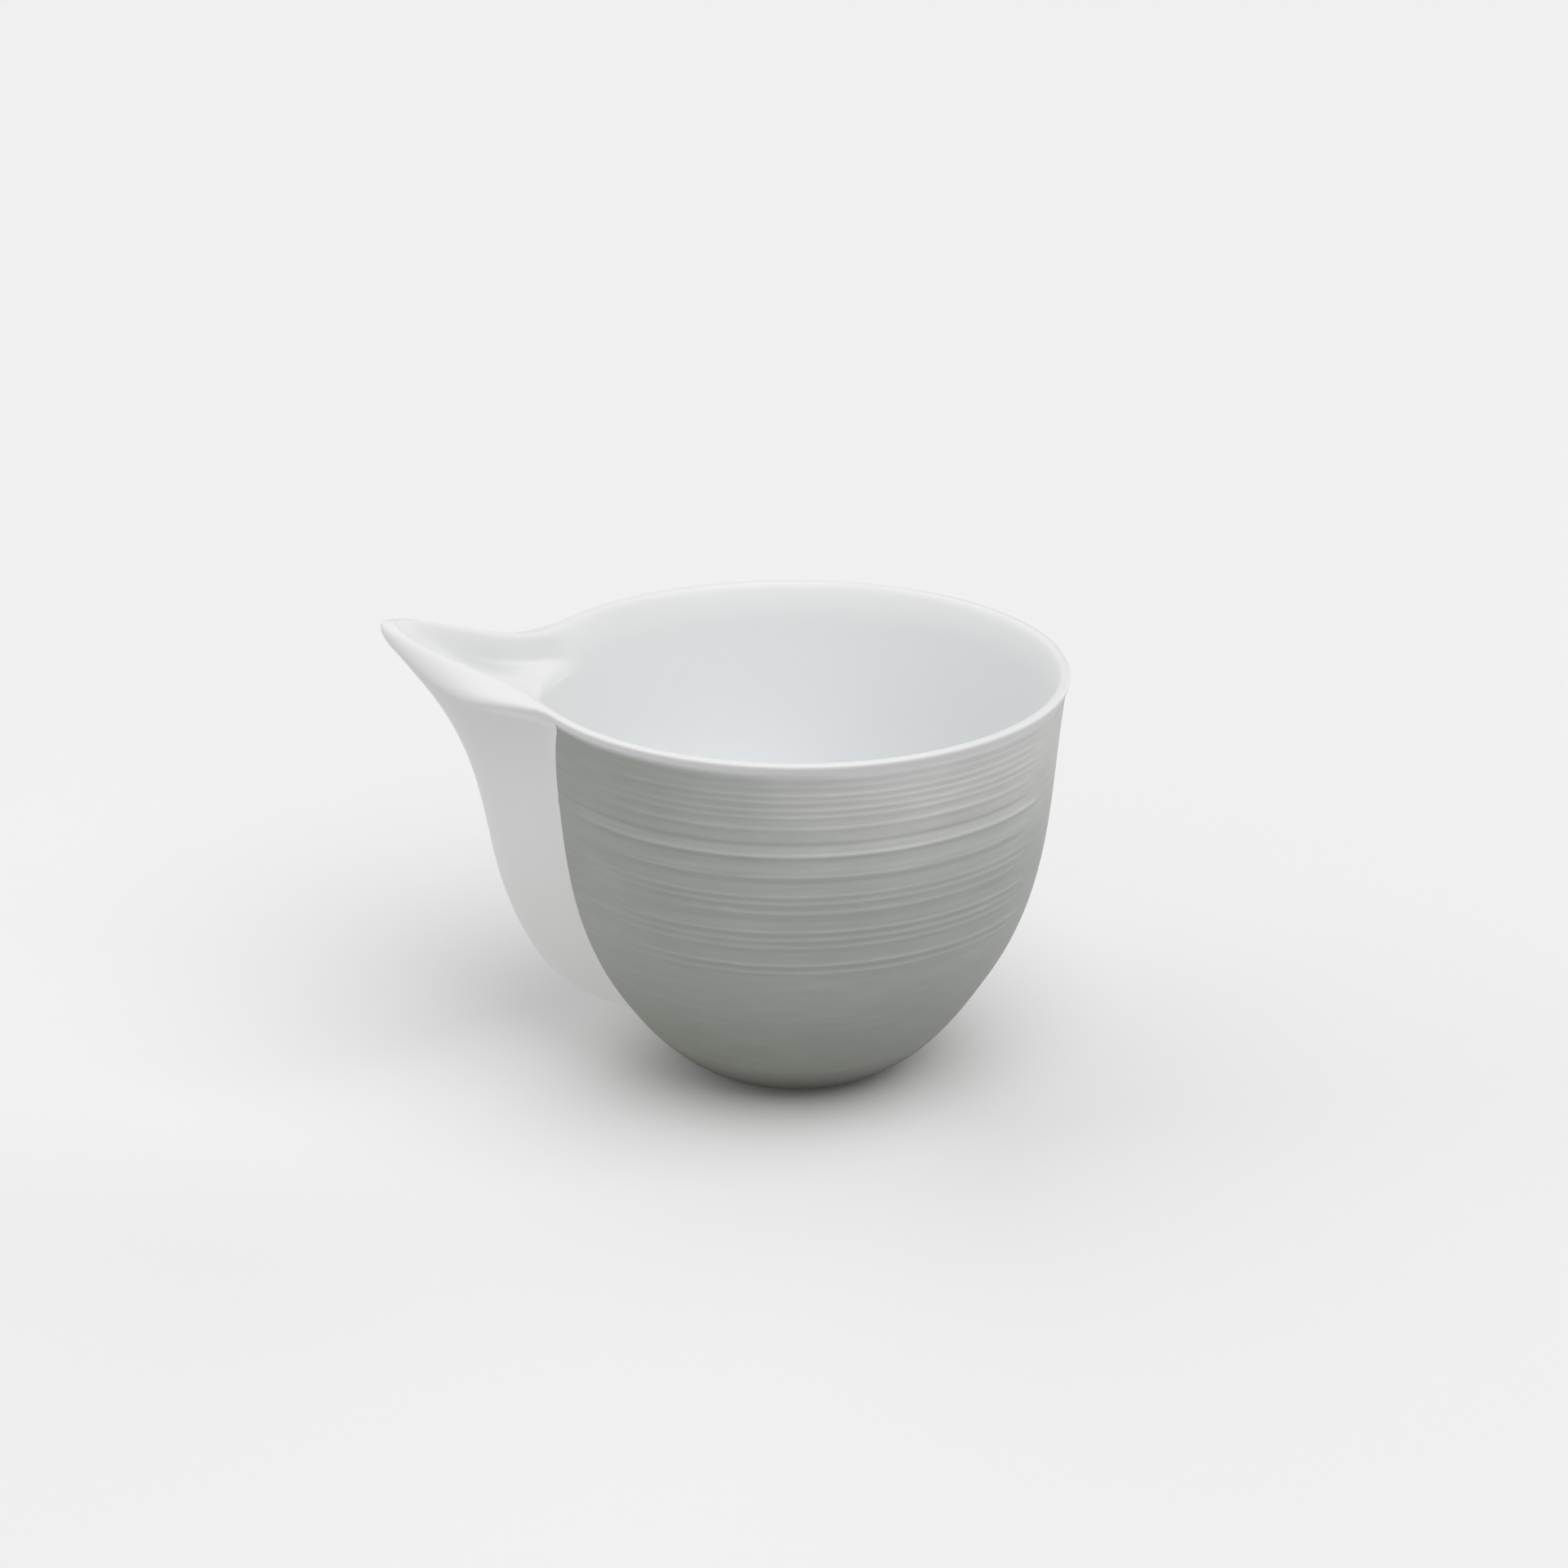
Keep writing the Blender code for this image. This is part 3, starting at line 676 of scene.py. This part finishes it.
def turned_slip():
    """Grey slip, with its colour laid out in metres from the bowl's axis and the foot."""
    material, tree, shader = finish("turned_grey_slip", Roughness=0.62, IOR=1.5)
    place = add(tree, "TexCoord").outputs["Object"]
    middle = add(tree, "VectorMath", {0: place, 1: (AXIS_X, 0.0, 0.0)}, operation="SUBTRACT").outputs[0]
    part = add(tree, "SeparateXYZ", {"Vector": middle}).outputs
    turn = add(tree, "Math", {0: part["Y"], 1: part["X"]}, operation="ARCTAN2").outputs[0]
    laid_out = add(tree, "Math", {0: turn, 1: ROUND_RADIUS}, operation="MULTIPLY").outputs[0]
    round_it = add(tree, "CombineXYZ", {"X": laid_out, "Z": part["Z"]}).outputs[0]
    brushed = add(tree, "TexNoise", {"Vector": round_it, "Scale": 900.0, "Detail": 3.0}).outputs["Fac"]
    clouds = add(tree, "TexNoise", {"Vector": place, "Scale": 70.0, "Detail": 3.0}).outputs["Fac"]

    # colour: painted light lighter on the right, a painted highlight near the rim there, painted shade low
    # down
    # painted light: the slip is lightened towards the right, where the light falls
    side = add(tree, "MapRange", {"Value": part["X"], "From Min": -0.028,
                                  "From Max": 0.036}).outputs["Result"]
    body = add(tree, "Mix", {"Factor": side, 6: linear(SLIP), 7: linear(SLIP_PAINTED_LIGHT_RIGHT)},
               data_type="RGBA").outputs[2]
    # painted highlight: near the rim on the right the slip is lightened almost to white
    high = add(tree, "MapRange", {"Value": part["Z"], "From Min": 0.040, "From Max": 0.068},
               interpolation_type="SMOOTHSTEP").outputs["Result"]
    rightward = add(tree, "MapRange", {"Value": part["X"], "From Min": -0.026, "From Max": 0.022},
                    interpolation_type="SMOOTHSTEP").outputs["Result"]
    painted_highlight_share = add(tree, "Math", {0: high, 1: rightward}, operation="MULTIPLY").outputs[0]
    body = add(tree, "Mix", {"Factor": painted_highlight_share, 6: body, 7: linear(SLIP_PAINTED_HIGHLIGHT)}, data_type="RGBA").outputs[2]
    # painted shade: the slip darkens from mid height down to the foot, less on the lit right side
    low = add(tree, "MapRange", {"Value": part["Z"], "From Min": 0.0, "From Max": 0.034,
                                 "To Min": 1.0, "To Max": 0.0},
              interpolation_type="SMOOTHSTEP").outputs["Result"]
    less = add(tree, "Math", {0: side, 1: -0.4, 2: 1.0}, operation="MULTIPLY_ADD").outputs[0]
    low = add(tree, "Math", {0: low, 1: less}, operation="MULTIPLY").outputs[0]
    body = add(tree, "Mix", {"Factor": low, 6: body, 7: linear(SLIP_PAINTED_SHADE)}, data_type="RGBA").outputs[2]
    # painted contact shadow: nearly black in the last few mm above the floor
    painted_contact_shadow = add(tree, "MapRange", {"Value": part["Z"], "From Min": 0.0005, "From Max": 0.010,
                                      "To Min": 0.9, "To Max": 0.0},
                   interpolation_type="SMOOTHSTEP").outputs["Result"]
    body = add(tree, "Mix", {"Factor": painted_contact_shadow, 6: body, 7: linear(SLIP_CONTACT_SHADOW)},
               data_type="RGBA").outputs[2]

    # brush streaks and clouds on top, and white glaze showing where the coat is wiped off under the lip
    streak = add(tree, "MapRange", {"Value": brushed, "From Min": 0.25, "From Max": 0.75,
                                    "To Min": 0.94, "To Max": 1.06}).outputs["Result"]
    mottle = add(tree, "MapRange", {"Value": clouds, "From Min": 0.25, "From Max": 0.75,
                                    "To Min": 0.965, "To Max": 1.035}).outputs["Result"]
    tone = add(tree, "Math", {0: streak, 1: mottle}, operation="MULTIPLY").outputs[0]
    toned = add(tree, "VectorMath", {0: body, "Scale": tone}, operation="SCALE").outputs[0]
    edge = add(tree, "Attribute", attribute_name="below_lip").outputs["Fac"]
    bare = add(tree, "MapRange", {"Value": edge, "From Min": -0.2, "From Max": 1.0,
                                  "To Min": 0.9, "To Max": 0.0},
               interpolation_type="SMOOTHSTEP").outputs["Result"]
    colour = add(tree, "Mix", {"Factor": bare, 6: toned, 7: linear(WIPED_EDGE)}, data_type="RGBA").outputs[2]
    tree.links.new(colour, shader.inputs["Base Color"])
    grain = add(tree, "TexNoise", {"Vector": place, "Scale": 1800.0, "Detail": 2.0}).outputs["Fac"]
    surface = add(tree, "Math", {0: brushed, 1: 2.0, 2: grain}, operation="MULTIPLY_ADD").outputs[0]
    rough = add(tree, "Bump", {"Height": surface, "Strength": 0.5, "Distance": 0.00004}).outputs["Normal"]
    tree.links.new(rough, shader.inputs["Normal"])
    return material


# %% Foot ring, wiped clean of glaze and fired bare
# Bare porcelain: chalky and a little warmer than the glazed wall, in patches of a millimetre or so
# where the sponge left more or less of the glaze.
BISCUIT, BISCUIT_LIGHT = "#DEDBD3", "#EBE9E3"


def wiped_biscuit():
    """Unglazed porcelain, dry to the touch."""
    material, tree, shader = finish("wiped_biscuit_foot", Roughness=0.8, IOR=1.5)
    place = add(tree, "TexCoord").outputs["Object"]
    chalk = add(tree, "TexNoise", {"Vector": place, "Scale": 700.0, "Detail": 3.0}).outputs["Fac"]
    tint = add(tree, "Mix", {"Factor": chalk, 6: linear(BISCUIT), 7: linear(BISCUIT_LIGHT)},
               data_type="RGBA").outputs[2]
    tree.links.new(tint, shader.inputs["Base Color"])
    grain = add(tree, "Bump", {"Height": chalk, "Strength": 0.5, "Distance": 0.00005}).outputs["Normal"]
    tree.links.new(grain, shader.inputs["Normal"])
    return material


# %% Giving every piece its finish
white = clear_glazed_porcelain("clear_glazed_porcelain", "#EEF2F4")
thin_white = clear_glazed_porcelain("thinly_glazed_porcelain", "#F3F3F1")
grey = turned_slip()
for piece, node, finish_slot, material in (
        (bowl, "bowl", "white_glazed_porcelain", white),
        (beak_piece, "spout", "white_spout_porcelain", thin_white),
        (coat, "grey_coat", "grey_slip", grey)):
    piece.data.materials.append(material)
    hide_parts(node)
    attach(piece, "root")

# %% The foot's own finishes
# Slip runs under the wall a little way, and the ring that the bowl stands on is wiped bare.
RING_INSIDE, RING_OUTSIDE, RING_TOP = 11.2 * MM, 12.9 * MM, 0.5 * MM
bowl.data.materials.append(wiped_biscuit())
bowl.data.materials.append(grey)
# the grey faces under the coat's low edge take the slip with its painted contact shadow
for face in bowl.data.polygons:
    across = (face.center - Vector((AXIS_X, 0, face.center.z))).length
    if face.center.z < COAT_LOW and across > RING_OUTSIDE:
        face.material_index = 2
    elif face.center.z < RING_TOP and across > RING_INSIDE:
        face.material_index = 1
keep(bowl, "below_lip", np.full(len(bowl.data.vertices), RIM_HEIGHT / MM))      # nowhere near the lip

# %% [markdown]
# ## Floor, light and camera
#
# A shop would stand the bowl on a matt, nearly white table under big soft lights. Suns with a very
# wide disc do the same here: their shadows melt away, and they light every side of the piece evenly
# enough. The light that a white table throws back up comes from the lower half of the world.

# %% Floor
FLOOR_SIZE = 40
bpy.ops.mesh.primitive_plane_add(size=FLOOR_SIZE, location=(0, 0, 0))
floor = bpy.context.object
floor.name = "studio_floor"
floor_paint, _, floor_shader = finish("pale_floor", Roughness=0.9)
floor_shader.inputs["Base Color"].default_value = linear("#F7F7F7")
floor.data.materials.append(floor_paint)
floor.visible_diffuse = False      # the glow from below is set by the world instead
floor.visible_shadow = False

# %% Glow from below, as from a matt table
GLOW = 0.48
scene = bpy.context.scene
world = bpy.data.worlds.new("studio")
scene.world = world
world.use_nodes = True
sky = world.node_tree
direction = add(sky, "TexCoord").outputs["Generated"]
height_up = add(sky, "SeparateXYZ", {"Vector": direction}).outputs["Z"]
glow = add(sky, "MapRange", {"Value": height_up, "From Min": -0.3, "From Max": 0.3,
                             "To Min": GLOW, "To Max": 0.0},
           interpolation_type="SMOOTHSTEP").outputs["Result"]
sky.links.new(glow, sky.nodes["Background"].inputs["Color"])

# %% Soft boxes: turn from the back, clockwise seen from above, then height over the horizon and width,
# all in degrees, and strength
SOFT_BOXES = {
    "back_left": (-50, 40, 90, 1.26),
    "front_right": (135, 60, 60, 1.50),
    "front": (180, 40, 90, 0.85),
    "right_low": (50, 12, 60, 0.88),
    "left_low": (-108, 12, 60, 0.38),
}
for name, (turn, rise, width, strength) in SOFT_BOXES.items():
    light = bpy.data.lights.new("soft_box_" + name, "SUN")
    light.energy = strength
    light.angle = radians(width)
    box = bpy.data.objects.new("soft_box_" + name, light)
    scene.collection.objects.link(box)
    level = cos(radians(rise))
    towards = Vector((sin(radians(turn)) * level, cos(radians(turn)) * level, sin(radians(rise))))
    box.rotation_euler = towards.to_track_quat("Z", "Y").to_euler()
scene.view_settings.view_transform = "Standard"
print("soft boxes:", len(SOFT_BOXES))

# %% Camera
lens = bpy.data.cameras.new("camera")
lens.lens = 110.3
lens.sensor_width = 36
lens.clip_start = 0.01
camera = bpy.data.objects.new("camera", lens)
scene.collection.objects.link(camera)
ELEVATION, DISTANCE = radians(22.2), 0.8
LOOK_HEIGHT = 0.035            # the bowl's middle
AIM_LEFT, AIM_UP = 2.13 * MM, 12.98 * MM
camera.location = (AXIS_X, -DISTANCE * cos(ELEVATION), LOOK_HEIGHT + DISTANCE * sin(ELEVATION))
aim = Vector((AXIS_X - AIM_LEFT, AIM_UP * sin(ELEVATION), LOOK_HEIGHT + AIM_UP * cos(ELEVATION)))
camera.rotation_euler = (aim - camera.location).to_track_quat("-Z", "Y").to_euler()
scene.camera = camera
